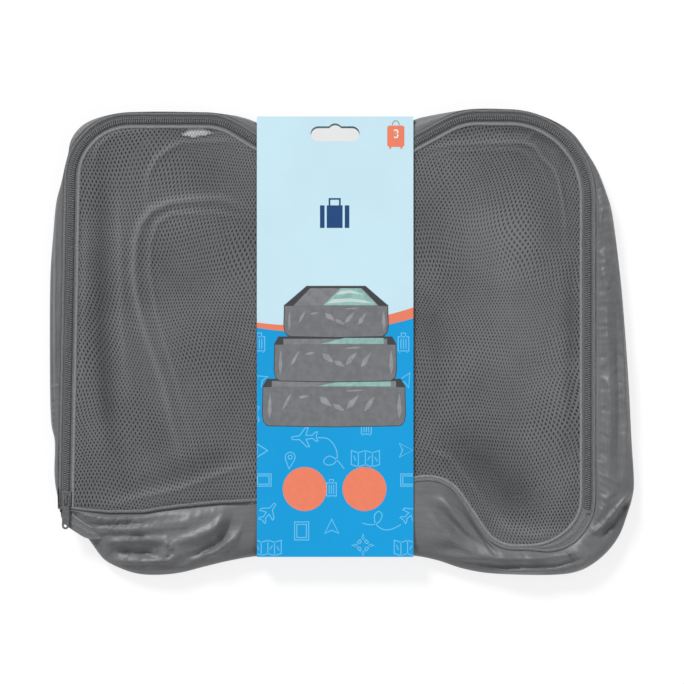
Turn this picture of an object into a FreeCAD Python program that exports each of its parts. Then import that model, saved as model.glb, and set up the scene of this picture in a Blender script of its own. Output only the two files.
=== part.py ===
"""A set of three nested packing cubes, folded flat and held by a printed card sleeve.

Each cube is a shallow fabric box: a base panel, four folded side walls, and a mesh lid that is sewn to the
hinge-side wall and zipped along the other three sides. The medium cube lies in the large one and the small
cube in the medium one. The card sleeve wraps round the middle of the stack and gathers it into a waist.

Units are millimetres. The origin is on the floor at the centre of the stack's outline, +Z is up, +X runs
along the long side, and +Y points at the zipped front side and the sleeve's hanging slot.
"""
import FreeCAD, Part

import math
import os

Vector = FreeCAD.Vector

# ---------------------------------------------------------------- driving dimensions
set_length = 386.0         # whole outline along X
set_depth = 307.0          # whole outline along Y
cloth = 0.6                # every woven panel, as a plain solid
mesh_cloth = 0.5           # mesh lid, as a plain solid
card = 0.45                # sleeve card
layer_gap = 0.4            # air between one cube's base and the next
floor_gap = 0.45           # air between the sleeve's back and the large base
front_gap = 0.3            # air between the lid's trim and the sleeve's front

coil_gap = 0.3             # each coil half stops this far from the zip's centre line
coil_width = 1.5           # one coil half
coil_height = 2.0
tape_width = 1.6           # tape that shows beside one coil half
tape_thickness = 0.5
binding_width = 2.0
binding_height = 2.0
piping_width = 2.4         # flat seam round each base panel
hinge_clearance = 0.15     # each side of a lid's hinge line
large_zip_tail = 32.0      # zip that runs on past the hinge line
zip_tail = 22.0            # the same on the medium and small cubes
stop_length = 2.2
side_reach = 40.0          # past the hinge line, the zip keeps within this of the left and right ends

slider_length = 10.0
slider_half_width = 3.1
slider_plate = 0.5
slider_coil_clearance = 0.2
slider_tape_clearance = 0.2
slider_blade = 0.4         # thin wedge between the coil halves
slider_rim = 0.5
bridge_width = 1.2
bridge_length = 6.4
bridge_bar = 0.5
puller_bar = 0.7
puller_clearance = 0.1
puller_inner_width = 2.2   # between the two arms that straddle the bridge
puller_width = 4.6
puller_length = 20.0
puller_thickness = 0.7
slider_to_stop = 2.5

small_cavity = 4.5         # height left inside the small cube
lid_over_slider = 0.3      # air between a slider's top and the next lid

sleeve_left = -56.2
sleeve_right = 46.2
sleeve_height = 288.2
sleeve_middle_y = 3.5
slot_x = -5.0
slot_from_top = 11.4       # slot's centre line to the sleeve's top edge
header_depth = 20.6        # from the sleeve's top edge to the crease under its slot
slot_length = 32.0
slot_height = 9.8
slot_bump_radius = 5.0
slot_bump_rise = 1.9
flap_width = 50.0
flap_length = 16.6

label_left = -107.0
label_width = 23.0
label_bottom = 133.5
label_thickness = 0.3
label_drop = 1.3           # below the large cube's upper wall leaf

large_hinge_y = -78.0
medium_hinge_y = -58.0
small_hinge_y = -44.0
large_left_drop = 16.0     # from the end of each zip's tail to the corner below it
large_bevel_drop = 6.0     # from the end of the left tail to the bevel below it
large_right_drop = 24.5
medium_corner_drop = 24.0
small_corner_drop = 22.0
medium_wall_fold = 5.0     # how far the folded wall stands out past its binding
small_wall_fold = 4.0
least_wall_fold = 0.3

# ---------------------------------------------------------------- outlines
# Corners are (x, y, radius), clockwise from the hinge side's left end, at the home length and depth below.
# The first three outlines are the lines of the zips. The last is the folded outline of the large cube.
home_length = 386.0
home_depth = 307.0
stretch_x = set_length / home_length
stretch_y = set_depth / home_depth
large_low = large_hinge_y - (large_zip_tail + large_left_drop) / stretch_y
large_bevel = large_hinge_y - (large_zip_tail + large_bevel_drop) / stretch_y
large_right_low = large_hinge_y - (large_zip_tail + large_right_drop) / stretch_y
medium_low = medium_hinge_y - (zip_tail + medium_corner_drop) / stretch_y
small_low = small_hinge_y - (zip_tail + small_corner_drop) / stretch_y
large_zip_line = [
    (-181.3, large_bevel, 8.0), (-176.5, 145.0, 38.0), (-80.0, 145.0, 36.0),
    (-40.0, 121.0, 16.0), (30.0, 121.0, 16.0), (78.0, 147.0, 40.0), (160.5, 147.0, 52.0),
    (160.5, large_right_low, 32.0), (100.0, large_right_low, 24.0), (68.0, -87.0, 26.0), (-56.0, -104.0, 30.0),
    (-90.0, large_low, 30.0), (-166.0, large_low, 14.0),
]
medium_zip_line = [
    (-134.0, medium_low, 26.0), (-134.0, 132.0, 28.0), (-76.0, 132.0, 34.0), (-44.0, 111.0, 24.0),
    (34.0, 111.0, 24.0), (66.0, 132.0, 34.0), (144.0, 132.0, 34.0), (144.0, medium_low, 26.0),
]
small_zip_line = [
    (-104.0, small_low, 22.0), (-121.0, 94.0, 24.0), (88.0, 94.0, 24.0), (88.0, small_low, 22.0),
]
large_edge = [
    (-189.5, -127.0, 12.0), (-193.0, -70.0, 120.0), (-193.0, 50.0, 120.0), (-184.0, 151.5, 42.0),
    (-86.0, 151.5, 60.0), (-56.0, 145.0, 16.0), (-36.0, 128.4, 9.0), (26.0, 128.4, 9.0),
    (46.0, 146.0, 16.0), (76.0, 153.5, 60.0), (154.0, 153.5, 46.0), (178.0, 90.0, 60.0),
    (193.0, -50.0, 90.0), (193.0, -98.0, 14.0), (170.0, -153.5, 40.0), (88.0, -153.5, 60.0),
    (44.0, -139.2, 30.0), (-54.0, -139.2, 30.0), (-98.0, -153.5, 50.0), (-158.0, -153.5, 30.0),
]

# ---------------------------------------------------------------- sizes that follow
coil_outer = coil_gap + coil_width
tape_outer = coil_outer + tape_width
binding_outer = tape_outer + binding_width
slider_below = coil_height / 2 + slider_coil_clearance + slider_plate
plate_top = slider_below
puller_axis = plate_top + puller_clearance + puller_bar / 2
bridge_under = puller_axis + puller_bar / 2 + puller_clearance
slider_above = bridge_under + bridge_bar
sleeve_middle = (sleeve_left + sleeve_right) / 2
sleeve_bottom = (sleeve_middle_y - sleeve_height / 2) * stretch_y
sleeve_top = (sleeve_middle_y + sleeve_height / 2) * stretch_y
slot_y = sleeve_top - slot_from_top
crease_y = sleeve_top - header_depth

large_base_z = card + floor_gap
medium_base_z = large_base_z + cloth + layer_gap
small_base_z = medium_base_z + cloth + layer_gap
small_zip_z = small_base_z + cloth + small_cavity + mesh_cloth / 2
medium_zip_z = small_zip_z + slider_above + lid_over_slider + mesh_cloth / 2
large_zip_z = medium_zip_z + slider_above + lid_over_slider + mesh_cloth / 2
sleeve_front_z = large_zip_z + binding_height / 2 + front_gap


# ---------------------------------------------------------------- shape helpers
def rounded_face(corners):
    """A flat face at z = 0 whose polygon corners are rounded to their own radii."""
    count = len(corners)
    points = [Vector(x, y, 0) for x, y, radius in corners]
    starts = []
    middles = []
    ends = []
    for i, (x, y, radius) in enumerate(corners):
        before = (points[i - 1] - points[i]).normalize()
        after = (points[(i + 1) % count] - points[i]).normalize()
        half_angle = before.getAngle(after) / 2
        reach = radius / math.tan(half_angle)
        centre_way = (before + after).normalize()
        starts.append(points[i] + before * reach)
        ends.append(points[i] + after * reach)
        middles.append(points[i] + centre_way * (radius / math.sin(half_angle) - radius))
    edges = []
    for i in range(count):
        edges.append(Part.Arc(starts[i], middles[i], ends[i]).toShape())
        following = starts[(i + 1) % count]
        if (following - ends[i]).Length > 0.001:
            edges.append(Part.LineSegment(ends[i], following).toShape())
    return Part.Face(Part.Wire(edges))


def stretched(corners):
    """The corners moved out from the home length and depth to the set's own. Radii stay as they are."""
    return [(x * stretch_x, y * stretch_y, radius) for x, y, radius in corners]


def grown(face, distance):
    """The face with its edge moved outwards by distance, or inwards where it is negative."""
    if distance == 0:
        return face
    return face.makeOffset2D(distance)


def plate(face, low, high):
    """The face as a plate from height low to height high."""
    raised = face.copy()
    raised.translate(Vector(0, 0, low))
    return raised.extrude(Vector(0, 0, high - low))


def ring(face, inner, outer, low, high):
    """A flat band that follows the face's edge, between two distances from it."""
    return plate(grown(face, outer), low, high).cut(plate(grown(face, inner), low, high))


def block(x0, x1, y0, y1, z0, z1):
    """A box between two corners."""
    return Part.makeBox(x1 - x0, y1 - y0, z1 - z0, Vector(x0, y0, z0))


def in_strip(shape, y0, y1):
    """The part of the shape whose y lies between y0 and y1."""
    return shape.common(block(-400, 400, y0, y1, -10, 60))


def along_zip(shape, y0, y1, hinge_y, box):
    """The part of a ring between y0 and y1, which past the hinge line keeps to the left and right sides."""
    hinge_side = block(box.XMin + side_reach, box.XMax - side_reach, -400, hinge_y, -10, 60)
    return in_strip(shape, y0, y1).cut(hinge_side)


def prism(points, low, high):
    """A straight-sided prism over a polygon of (x, y) points."""
    closed = [Vector(x, y, low) for x, y in points + points[:1]]
    return Part.Face(Part.makePolygon(closed)).extrude(Vector(0, 0, high - low))


def save(name, shape):
    """Writes one node as its separate solids."""
    solids = [solid.removeSplitter() for solid in shape.Solids]
    Part.makeCompound(solids).exportStep("parts/" + name + ".step")


# ---------------------------------------------------------------- zip hardware
def make_slider(z):
    """A slider on a straight zip along +Y, centred on the origin: two plates, rims, a blade and a bridge."""
    half = slider_length / 2
    coil_top = coil_height / 2 + slider_coil_clearance
    tape_top = tape_thickness / 2 + slider_tape_clearance
    rim_inner = slider_half_width - slider_rim
    body = block(-slider_half_width, slider_half_width, -half, half, coil_top, plate_top)
    body = body.fuse(body.mirror(Vector(0, 0, 0), Vector(0, 0, 1)))
    for side in (-1, 1):
        low_x, high_x = sorted((side * rim_inner, side * slider_half_width))
        rim = block(low_x, high_x, -half, half, tape_top, coil_top)
        body = body.fuse(rim).fuse(rim.mirror(Vector(0, 0, 0), Vector(0, 0, 1)))
    blade_start = half - 3 * slider_plate
    blade = block(-slider_blade / 2, slider_blade / 2, blade_start, half, -coil_top, coil_top)
    bridge = block(-bridge_width / 2, bridge_width / 2, -bridge_length / 2, bridge_length / 2,
                   plate_top, slider_above)
    window = block(-bridge_width, bridge_width, bridge_bar - bridge_length / 2,
                   bridge_length / 2 - bridge_bar, plate_top, bridge_under)
    body = body.fuse(blade).fuse(bridge.cut(window))
    shoulders = Part.makeCylinder(slider_length * 0.62, 2 * slider_above,
                                  Vector(0, 0, -slider_above))
    body = body.common(shoulders)
    body.translate(Vector(0, 0, z))
    return body


def make_puller(z):
    """A flat pull tab that lies towards -Y, with a bar that turns in the slider's bridge."""
    bar = Part.makeCylinder(puller_bar / 2, puller_width, Vector(-puller_width / 2, 0, puller_axis),
                            Vector(1, 0, 0))
    low = puller_axis - puller_thickness / 2
    high = puller_axis + puller_thickness / 2
    arm_reach = bridge_length / 2 + 1.4
    tab = block(-puller_width / 2, puller_width / 2, -puller_length, 0, low, high)
    opening = block(-puller_inner_width / 2, puller_inner_width / 2, -arm_reach, puller_bar, low, high)
    tab = tab.cut(opening)
    end_radius = puller_width / 2 - 0.01
    ends = [edge for edge in tab.Edges
            if edge.BoundBox.YMax < 0.1 - puller_length and edge.BoundBox.ZLength > 0.1]
    tab = tab.makeFillet(end_radius, ends)
    hole = Part.makeCylinder(1.0, 2 * high, Vector(0, puller_width / 2 - puller_length, 0))
    puller = tab.cut(hole).fuse(bar)
    puller.translate(Vector(0, 0, z))
    return puller


def slide_line(corners):
    """The left end of the zip's straight side: its lower corner and its unit direction."""
    start = Vector(corners[0][0], corners[0][1], 0)
    direction = (Vector(corners[1][0], corners[1][1], 0) - start).normalize()
    return start, direction


def on_left_side(shape, corners, y):
    """Moves a shape from the origin to the zip's left side at height y on the plan, turned along it."""
    start, direction = slide_line(corners)
    lean = -math.degrees(math.atan2(direction.x, direction.y))
    moved = shape.copy()
    moved.rotate(Vector(0, 0, 0), Vector(0, 0, 1), lean)
    moved.translate(start + direction * ((y - start.y) / direction.y) - Vector(0, 0, 0))
    return moved


# ---------------------------------------------------------------- one packing cube
def wall_regions(box):
    """Four prisms that share out the outline's ring into left, front, right and hinge walls."""
    reach = 50
    depth = 100
    middle = (box.YMin + box.YMax) / 2
    left = (box.XMin + depth, middle)
    right = (box.XMax - depth, middle)
    corner = {
        "low_left": (box.XMin - reach, box.YMin - reach),
        "high_left": (box.XMin - reach, box.YMax + reach),
        "high_right": (box.XMax + reach, box.YMax + reach),
        "low_right": (box.XMax + reach, box.YMin - reach),
    }
    return {
        "wall_left": [corner["low_left"], left, corner["high_left"]],
        "wall_front": [corner["high_left"], left, right, corner["high_right"]],
        "wall_right": [corner["high_right"], right, corner["low_right"]],
        "wall_hinge": [corner["low_right"], right, left, corner["low_left"]],
    }


def make_walls(edge, line, base_z, zip_z):
    """The folded wall: a lower leaf, an outer fold and an upper leaf, as one ring cut into four walls."""
    top = zip_z + cloth / 2
    outside = plate(edge, base_z, top)
    hollow = plate(grown(edge, -cloth), base_z + cloth, top - cloth)
    lower_opening = plate(grown(line, piping_width), base_z, base_z + cloth)
    upper_opening = plate(grown(line, binding_outer), top - cloth, top)
    folded = outside.cut(hollow).cut(lower_opening).cut(upper_opening)
    regions = wall_regions(edge.BoundBox)
    return {name: folded.common(prism(points, -1, 40)) for name, points in regions.items()}


def make_cube(corners, edge, base_z, zip_z, hinge_y, tail):
    """All the fabric, zip and hardware solids of one cube, by node name."""
    line = rounded_face(corners)
    tail_end = hinge_y - tail
    moving = hinge_y + hinge_clearance
    still = hinge_y - hinge_clearance
    far = 400
    coil = (zip_z - coil_height / 2, zip_z + coil_height / 2)
    tape = (zip_z - tape_thickness / 2, zip_z + tape_thickness / 2)
    bound = (zip_z - binding_height / 2, zip_z + binding_height / 2)
    mesh = (zip_z - mesh_cloth / 2, zip_z + mesh_cloth / 2)

    parts = {"base_panel": plate(line, base_z, base_z + cloth)}
    parts["base_piping"] = ring(line, 0, piping_width, base_z, base_z + cloth)
    parts.update(make_walls(edge, line, base_z, zip_z))
    parts["wall_binding"] = ring(line, tape_outer, binding_outer, *bound)
    box = line.BoundBox
    wall_tape = ring(line, coil_outer, tape_outer, *tape)
    wall_coil = ring(line, coil_gap, coil_outer, *coil)
    parts["zip_tape_wall"] = along_zip(wall_tape, tail_end, far, hinge_y, box)
    parts["zip_coil_wall"] = along_zip(wall_coil, tail_end, far, hinge_y, box)
    lid_tape = ring(line, -tape_outer, -coil_outer, *tape)
    lid_coil = ring(line, -coil_outer, -coil_gap, *coil)
    parts["zip_tape_lid"] = in_strip(lid_tape, moving, far)
    parts["zip_coil_lid"] = in_strip(lid_coil, moving, far)
    parts["zip_tails"] = along_zip(lid_tape.fuse(lid_coil), tail_end, still, hinge_y, box)
    parts["lid_binding"] = in_strip(ring(line, -binding_outer, -tape_outer, *bound), moving, far)
    parts["lid_mesh"] = in_strip(plate(grown(line, -binding_outer), *mesh), moving, far)

    stop = block(-coil_outer, coil_outer, -stop_length, 0, *coil)
    left_stop = on_left_side(stop, corners, tail_end)
    right_stop = stop.copy()
    right_stop.translate(Vector(box.XMax, tail_end, 0))
    zip_ends = [parts["zip_coil_wall"], parts["zip_tails"]]
    parts["zip_stops"] = Part.makeCompound([stop_side.cut(zip_ends) for stop_side in (left_stop, right_stop)])

    strip = in_strip(plate(grown(line, tape_outer), *mesh), -far, still)
    zip_lane = along_zip(ring(line, -tape_outer, tape_outer, *mesh), tail_end, still, hinge_y, box)
    parts["hinge_strip"] = strip.cut(zip_lane).cut(left_stop).cut(right_stop)

    park = tail_end + slider_to_stop + slider_length / 2
    parts["slider"] = on_left_side(make_slider(zip_z), corners, park)
    parts["puller"] = on_left_side(make_puller(zip_z), corners, park)
    return parts


# ---------------------------------------------------------------- the card sleeve
def make_slot():
    """The hanging slot: a long hole with rounded ends and a low bump for the hook."""
    straight = (slot_length - slot_height) / 2
    radius = slot_height / 2
    hole = block(slot_x - straight, slot_x + straight, slot_y - radius, slot_y + radius, -5, 40)
    for side in (-1, 1):
        hole = hole.fuse(Part.makeCylinder(radius, 45, Vector(slot_x + side * straight, slot_y, -5)))
    bump_y = slot_y + radius + slot_bump_rise - slot_bump_radius
    return hole.fuse(Part.makeCylinder(slot_bump_radius, 45, Vector(slot_x, bump_y, -5)))


def make_card_panel(low):
    """One panel of the sleeve: the tall part up to the crease, and the header with the slot through it."""
    tall = block(sleeve_left, sleeve_right, sleeve_bottom, crease_y, low, low + card)
    header = block(sleeve_left, sleeve_right, crease_y, sleeve_top, low, low + card)
    return Part.makeCompound([tall, header.cut(make_slot())])


def make_sleeve():
    """Front and back panels, the bottom spine that joins them, and the top flap that is glued inside."""
    bottom_spine = block(sleeve_left, sleeve_right, sleeve_bottom, sleeve_bottom + card, card,
                         sleeve_front_z)
    top_spine = block(sleeve_left, sleeve_right, sleeve_top - card, sleeve_top, card, sleeve_front_z)
    flap = block(sleeve_middle - flap_width / 2, sleeve_middle + flap_width / 2,
                 sleeve_top - flap_length, sleeve_top - card, card, 2 * card)
    return {
        "sleeve_front_panel": make_card_panel(sleeve_front_z),
        "sleeve_back_panel": make_card_panel(0),
        "sleeve_bottom_spine": bottom_spine,
        "sleeve_top_flap": top_spine.fuse(flap.cut(make_slot())),
    }


def make_label(edge):
    """A care label sewn inside the large cube's front wall, under its lid."""
    top = large_zip_z - cloth / 2 - label_drop
    low_y = label_bottom * stretch_y
    tab = block(label_left, label_left + label_width, low_y, 2 * low_y, top - label_thickness, top)
    return tab.common(plate(grown(edge, -cloth), 0, 40))


# ---------------------------------------------------------------- build
os.makedirs("parts", exist_ok=True)

lines = {
    "large": stretched(large_zip_line),
    "medium": stretched(medium_zip_line),
    "small": stretched(small_zip_line),
}
large_least = grown(rounded_face(lines["large"]), binding_outer + cloth + least_wall_fold)
large_face = rounded_face(stretched(large_edge)).fuse(large_least).removeSplitter().Faces[0]
medium_face = grown(rounded_face(lines["medium"]), binding_outer + medium_wall_fold)
small_face = grown(rounded_face(lines["small"]), binding_outer + small_wall_fold)
cubes = {
    "large": (large_face, large_base_z, large_zip_z, large_hinge_y * stretch_y, large_zip_tail),
    "medium": (medium_face, medium_base_z, medium_zip_z, medium_hinge_y * stretch_y, zip_tail),
    "small": (small_face, small_base_z, small_zip_z, small_hinge_y * stretch_y, zip_tail),
}
for size_name, settings in cubes.items():
    for part_name, shape in make_cube(lines[size_name], *settings).items():
        save(size_name + "_" + part_name, shape)
for part_name, shape in make_sleeve().items():
    save(part_name, shape)
save("large_care_label", make_label(large_face))
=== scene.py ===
# %% [markdown]
# A set of three packing cubes, folded flat, one inside the other, with a printed card sleeve round the middle.
# The construction model gives every size: where the zips run, how high each layer lies and what turns. This
# lesson adds what the eye sees: gathered nylon, open net, zip coils, seam tape and printed card. The model is
# loaded first and never changed, so each piece can be placed from its boxes and outlines.
# %% Load the frame
import math

import bmesh
import bpy
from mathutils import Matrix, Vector, noise


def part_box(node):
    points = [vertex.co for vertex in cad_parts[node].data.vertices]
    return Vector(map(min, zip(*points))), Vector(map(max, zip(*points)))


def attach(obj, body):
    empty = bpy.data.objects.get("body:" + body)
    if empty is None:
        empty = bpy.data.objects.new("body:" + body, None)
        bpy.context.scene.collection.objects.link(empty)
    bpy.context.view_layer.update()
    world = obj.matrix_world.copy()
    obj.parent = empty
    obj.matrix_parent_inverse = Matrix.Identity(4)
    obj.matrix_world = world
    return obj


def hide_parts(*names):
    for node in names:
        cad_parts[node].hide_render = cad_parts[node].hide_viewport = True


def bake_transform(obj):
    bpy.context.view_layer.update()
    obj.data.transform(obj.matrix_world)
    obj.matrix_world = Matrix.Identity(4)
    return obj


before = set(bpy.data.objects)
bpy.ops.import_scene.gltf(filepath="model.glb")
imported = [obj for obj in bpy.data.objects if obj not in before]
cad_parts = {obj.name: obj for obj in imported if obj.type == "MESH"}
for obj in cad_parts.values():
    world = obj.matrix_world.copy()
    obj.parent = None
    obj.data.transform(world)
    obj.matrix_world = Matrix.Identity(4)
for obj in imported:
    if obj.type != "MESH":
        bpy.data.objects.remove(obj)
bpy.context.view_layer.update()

# %% [markdown]
# The set lies on a shop photographer's white table and is seen from straight above. A long lens far away keeps
# the edges of the flat stack from leaning outwards, as a short lens would make them.
# %% Camera, floor and light
MM = 0.001
view_width = 448.7 * MM
camera_height = 1.9
subject_height = 12 * MM

camera_data = bpy.data.cameras.new("studio_camera")
camera_data.sensor_width = 36.0
camera_data.lens = camera_data.sensor_width * (camera_height - subject_height) / view_width
camera_data.clip_end = 20
camera = bpy.data.objects.new("studio_camera", camera_data)
camera.location = (-0.5 * MM, 0, camera_height)
bpy.context.scene.collection.objects.link(camera)
bpy.context.scene.camera = camera
bpy.context.scene.view_settings.view_transform = "Standard"


def sun(name, strength, softness, turn):
    """A distant lamp, whose softness is the width of its disc in degrees."""
    lamp_data = bpy.data.lights.new(name, "SUN")
    lamp_data.energy = strength
    lamp_data.angle = math.radians(softness)
    lamp = bpy.data.objects.new(name, lamp_data)
    lamp.rotation_euler = [math.radians(a) for a in turn]
    bpy.context.scene.collection.objects.link(lamp)


sun("window_light", 2.3, 14, (-44, -34, 0))
sun("fill_light", 0.45, 50, (34, 40, 0))

world = bpy.data.worlds.new("studio")
bpy.context.scene.world = world
world.use_nodes = True
world.node_tree.nodes["Background"].inputs["Color"].default_value = (1, 1, 1, 1)
world.node_tree.nodes["Background"].inputs["Strength"].default_value = 0.4
print("lens", round(camera_data.lens, 1), "mm")

# %% [markdown]
# Finishes are node trees. Joining Math nodes by hand is slow to read, so one small class wraps an output socket
# and lets plain Python sums build the Math nodes. `node` adds any other kind of node.
# %% A small language for finishes
class Wire:
    """One output of a finish's node tree, which can be added, multiplied and compared."""

    def __init__(self, tree, socket):
        self.tree = tree
        self.socket = socket

    def math(self, operation, *values):
        return node(self.tree, "ShaderNodeMath", {"operation": operation}, dict(enumerate(values)))

    def __add__(self, other):
        return self.math("ADD", self, other)

    def __radd__(self, other):
        return self.math("ADD", other, self)

    def __sub__(self, other):
        return self.math("SUBTRACT", self, other)

    def __rsub__(self, other):
        return self.math("SUBTRACT", other, self)

    def __mul__(self, other):
        return self.math("MULTIPLY", self, other)

    def __rmul__(self, other):
        return self.math("MULTIPLY", other, self)

    def __truediv__(self, other):
        return self.math("DIVIDE", self, other)

    def __lt__(self, other):
        return self.math("LESS_THAN", self, other)

    def __gt__(self, other):
        return self.math("GREATER_THAN", self, other)

    def least(self, other):
        return self.math("MINIMUM", self, other)

    def most(self, other):
        return self.math("MAXIMUM", self, other)

    def size(self):
        return self.math("ABSOLUTE", self)

    def root(self):
        return self.math("SQRT", self)

    def wave(self):
        return self.math("SINE", self)

    def fold(self, span):
        """Runs up and down between 0 and the span, as a zigzag."""
        return self.math("PINGPONG", self, span)

    def ramp(self, low, high):
        """0 below low, 1 above high and a smooth rise between."""
        settings = {"interpolation_type": "SMOOTHSTEP"}
        return node(self.tree, "ShaderNodeMapRange", settings, {"Value": self, "From Min": low, "From Max": high})


def node(tree, kind, settings=None, inputs=None, output=0):
    """Adds a node, sets its settings, then its inputs from values or wires, and returns one of its outputs."""
    made = tree.nodes.new(kind)
    for key, value in (settings or {}).items():
        setattr(made, key, value)
    for key, value in (inputs or {}).items():
        if isinstance(value, Wire):
            tree.links.new(value.socket, made.inputs[key])
        else:
            made.inputs[key].default_value = value
    return Wire(tree, made.outputs[output])


def finish(name, **constants):
    """A new material with one Principled shader, its fixed values set on the shader itself."""
    material = bpy.data.materials.new(name)
    material.use_nodes = True
    tree = material.node_tree
    shader = tree.nodes["Principled BSDF"]
    for key, value in constants.items():
        shader.inputs[key.replace("_", " ")].default_value = value
    return material, tree, shader


def feed(tree, shader, **wires):
    """Links wires to the shader's inputs."""
    for key, wire in wires.items():
        tree.links.new(wire.socket, shader.inputs[key.replace("_", " ")])


def grey(value):
    """A cool grey whose written value is on the 0 to 255 scale of a paint chart."""
    return colour(value - 1, value, value + 2)


def colour(red, green, blue):
    """The scene-linear colour of a paint chart's 0 to 255 values."""
    chart = [c / 255 for c in (red, green, blue)]
    linear = [c / 12.92 if c <= 0.04045 else ((c + 0.055) / 1.055) ** 2.4 for c in chart]
    return (*linear, 1)


def blend_colours(tree, share, first, second):
    """Mixes two colours, of which either may be a wire."""
    inputs = {0: share, 6: first, 7: second}
    return node(tree, "ShaderNodeMix", {"data_type": "RGBA"}, inputs, output=2)


# %% [markdown]
# A cloth pattern has to run with the cloth, also where it folds over an edge. Each sewn piece therefore carries
# a UV map in metres: u along the seam and v across it. Flat construction pieces use their own coordinates.
# %% Where a pattern sits
def place(tree, on_cloth):
    """The x and y of a pattern in millimetres, and the same point as a vector."""
    if on_cloth:
        spot = node(tree, "ShaderNodeUVMap", {"uv_map": "cloth"})
    else:
        spot = node(tree, "ShaderNodeTexCoord", output="Object")
    millimetres = node(tree, "ShaderNodeVectorMath", {"operation": "SCALE"}, {0: spot, "Scale": 1 / MM})
    split = node(tree, "ShaderNodeSeparateXYZ", {}, {0: millimetres})
    sockets = split.socket.node.outputs
    return Wire(tree, sockets[0]), Wire(tree, sockets[1]), millimetres


def cloud(tree, spot, scale, detail=2.0, output=0):
    """Soft random noise: its features are about 1 / scale millimetres across."""
    return node(tree, "ShaderNodeTexNoise", {}, {"Vector": spot, "Scale": scale, "Detail": detail}, output)


def bump(tree, height, strength, distance):
    """A Bump node: height in units of the distance, which is in millimetres."""
    return node(tree, "ShaderNodeBump", {}, {"Height": height, "Strength": strength, "Distance": distance * MM})


# %% [markdown]
# The walls are thin crinkled nylon in a plain weave, about two threads to a millimetre. From a metre away the
# threads melt into a satin surface with faint streaks, and close up they show. Three things make it: a weave
# of two crossed waves, long faint streaks, raised as creases in the bump and lighter or darker in the colour as
# a painted sheen, and a broad tonal drift.
# %% Woven nylon
thread_gap = 0.55


def woven(name, tone, on_cloth=True, weave_depth=0.05, gap=thread_gap, gloss=0.55, roughness=0.34):
    """Plain-woven cloth in the given grey tone."""
    material, tree, shader = finish(name, Sheen_Weight=0.2, Sheen_Roughness=0.4, Specular_IOR_Level=gloss)
    x, y, spot = place(tree, on_cloth)
    turn = 2 * math.pi / gap
    threads = (x * turn).wave() * (y * turn).wave()
    drift = cloud(tree, spot, 0.016, 3.0)
    stretched = node(tree, "ShaderNodeVectorMath", {"operation": "MULTIPLY"}, {0: spot, 1: (0.05, 0.6, 0.4)})
    crease_streaks_and_sheen = cloud(tree, stretched, 1.0, 3.0)
    fuzz = cloud(tree, spot, 0.9, 4.0)
    # The long streaks are raised as creases in the bump below, and in this colour they are lighter and darker bands
    # that paint the sheen of those creases.
    shade = drift * 0.5 + crease_streaks_and_sheen * 0.3 + fuzz * 0.2 + threads * 0.06
    light = [min(1.0, c * 1.16) for c in grey(tone)]
    dark = [c * 0.8 for c in grey(tone)]
    feed(tree, shader, Base_Color=blend_colours(tree, shade.ramp(0.3, 0.7), dark, light))
    feed(tree, shader, Roughness=roughness + fuzz * 0.16)
    height = threads * weave_depth + crease_streaks_and_sheen * 0.35 + fuzz * 0.25
    feed(tree, shader, Normal=bump(tree, height, 0.55, 0.5))
    return material


nylon = woven("woven_nylon", 114)
coated_nylon = woven("coated_nylon", 104, gloss=0.12, roughness=0.68)
print("nylon threads every", thread_gap, "mm")

# %% [markdown]
# The lids are knitted net: rows of small diamond holes, each row shifted by half a hole. Cutting thousands of
# holes into a mesh would make it heavy, so the net is a single sheet whose opacity is a pattern. Three lids lie
# over one another, and seeing one net through another makes the moire of the real set by itself. The pattern
# is bent by slow noise, because knitted net never stays square when it is gathered.
# %% Knitted net
hole_pitch = 2.2
hole_row = 4.5
least_cover = 0.3


def net(name, tone, openness, drag, seed):
    """Net whose holes are the given share of a half pitch, dragged off square by some millimetres."""
    material, tree, shader = finish(name, Sheen_Weight=0.15, Sheen_Roughness=0.5, Specular_IOR_Level=0.3)
    x, y, spot = place(tree, True)
    # The crest attribute is the height of the net's folds. Below, it lightens the colour on the ridges as a painted
    # highlight and darkens it in the hollows as painted shade.
    crest = node(tree, "ShaderNodeAttribute", {"attribute_name": "crest"}, output=2)
    moved = node(tree, "ShaderNodeVectorMath", {"operation": "ADD"}, {0: spot, 1: (seed, -seed, seed)})
    bend = cloud(tree, moved, 0.011, 1.0, output=1)
    pulls = node(tree, "ShaderNodeSeparateXYZ", {}, {0: bend}).socket.node.outputs
    u = (x + (Wire(tree, pulls[0]) - 0.5) * drag) / hole_pitch
    v = (y + (Wire(tree, pulls[1]) - 0.5) * drag) / hole_row
    corner = u.fold(0.5) + v.fold(0.5)
    inside = corner.least(1 - corner)
    solid = inside.ramp(openness - 0.07, openness + 0.07)
    fuzz = cloud(tree, spot, 0.8, 3.0)
    drift = cloud(tree, moved, 0.02, 3.0)
    light = [c * 1.3 for c in grey(tone)]
    dark = [c * 0.62 for c in grey(tone)]
    # Besides random drift, this tone holds painted light: crest gives highlights on the ridges and shade in the
    # hollows, and (solid - 0.6) lightens the threads and darkens the thin cover left in the holes, as painted shade
    # of the layers under the net.
    shade = (drift * 0.6 + fuzz * 0.4).ramp(0.25, 0.75) * 0.7 + 0.1 + crest * 0.24 + (solid - 0.6) * 0.45
    feed(tree, shader, Base_Color=blend_colours(tree, shade.most(0.0).least(1.0), dark, light))
    feed(tree, shader, Roughness=0.55 + fuzz * 0.2)
    feed(tree, shader, Alpha=(solid * (1 - least_cover) + least_cover + crest.most(0.0) * 0.12
                              + (crest + 4.0).least(0.0) * 0.22).least(1.0).most(0.0))
    feed(tree, shader, Normal=bump(tree, inside + fuzz * 0.2, 0.6, 0.6))
    return material


large_net = net("large_net", 108, 0.27, 36.0, 0.0)
medium_net = net("medium_net", 108, 0.27, 30.0, 130.0)
small_net = net("small_net", 108, 0.27, 30.0, 260.0)
print("net holes every", hole_pitch, "mm in rows", hole_row / 2, "mm apart")

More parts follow.
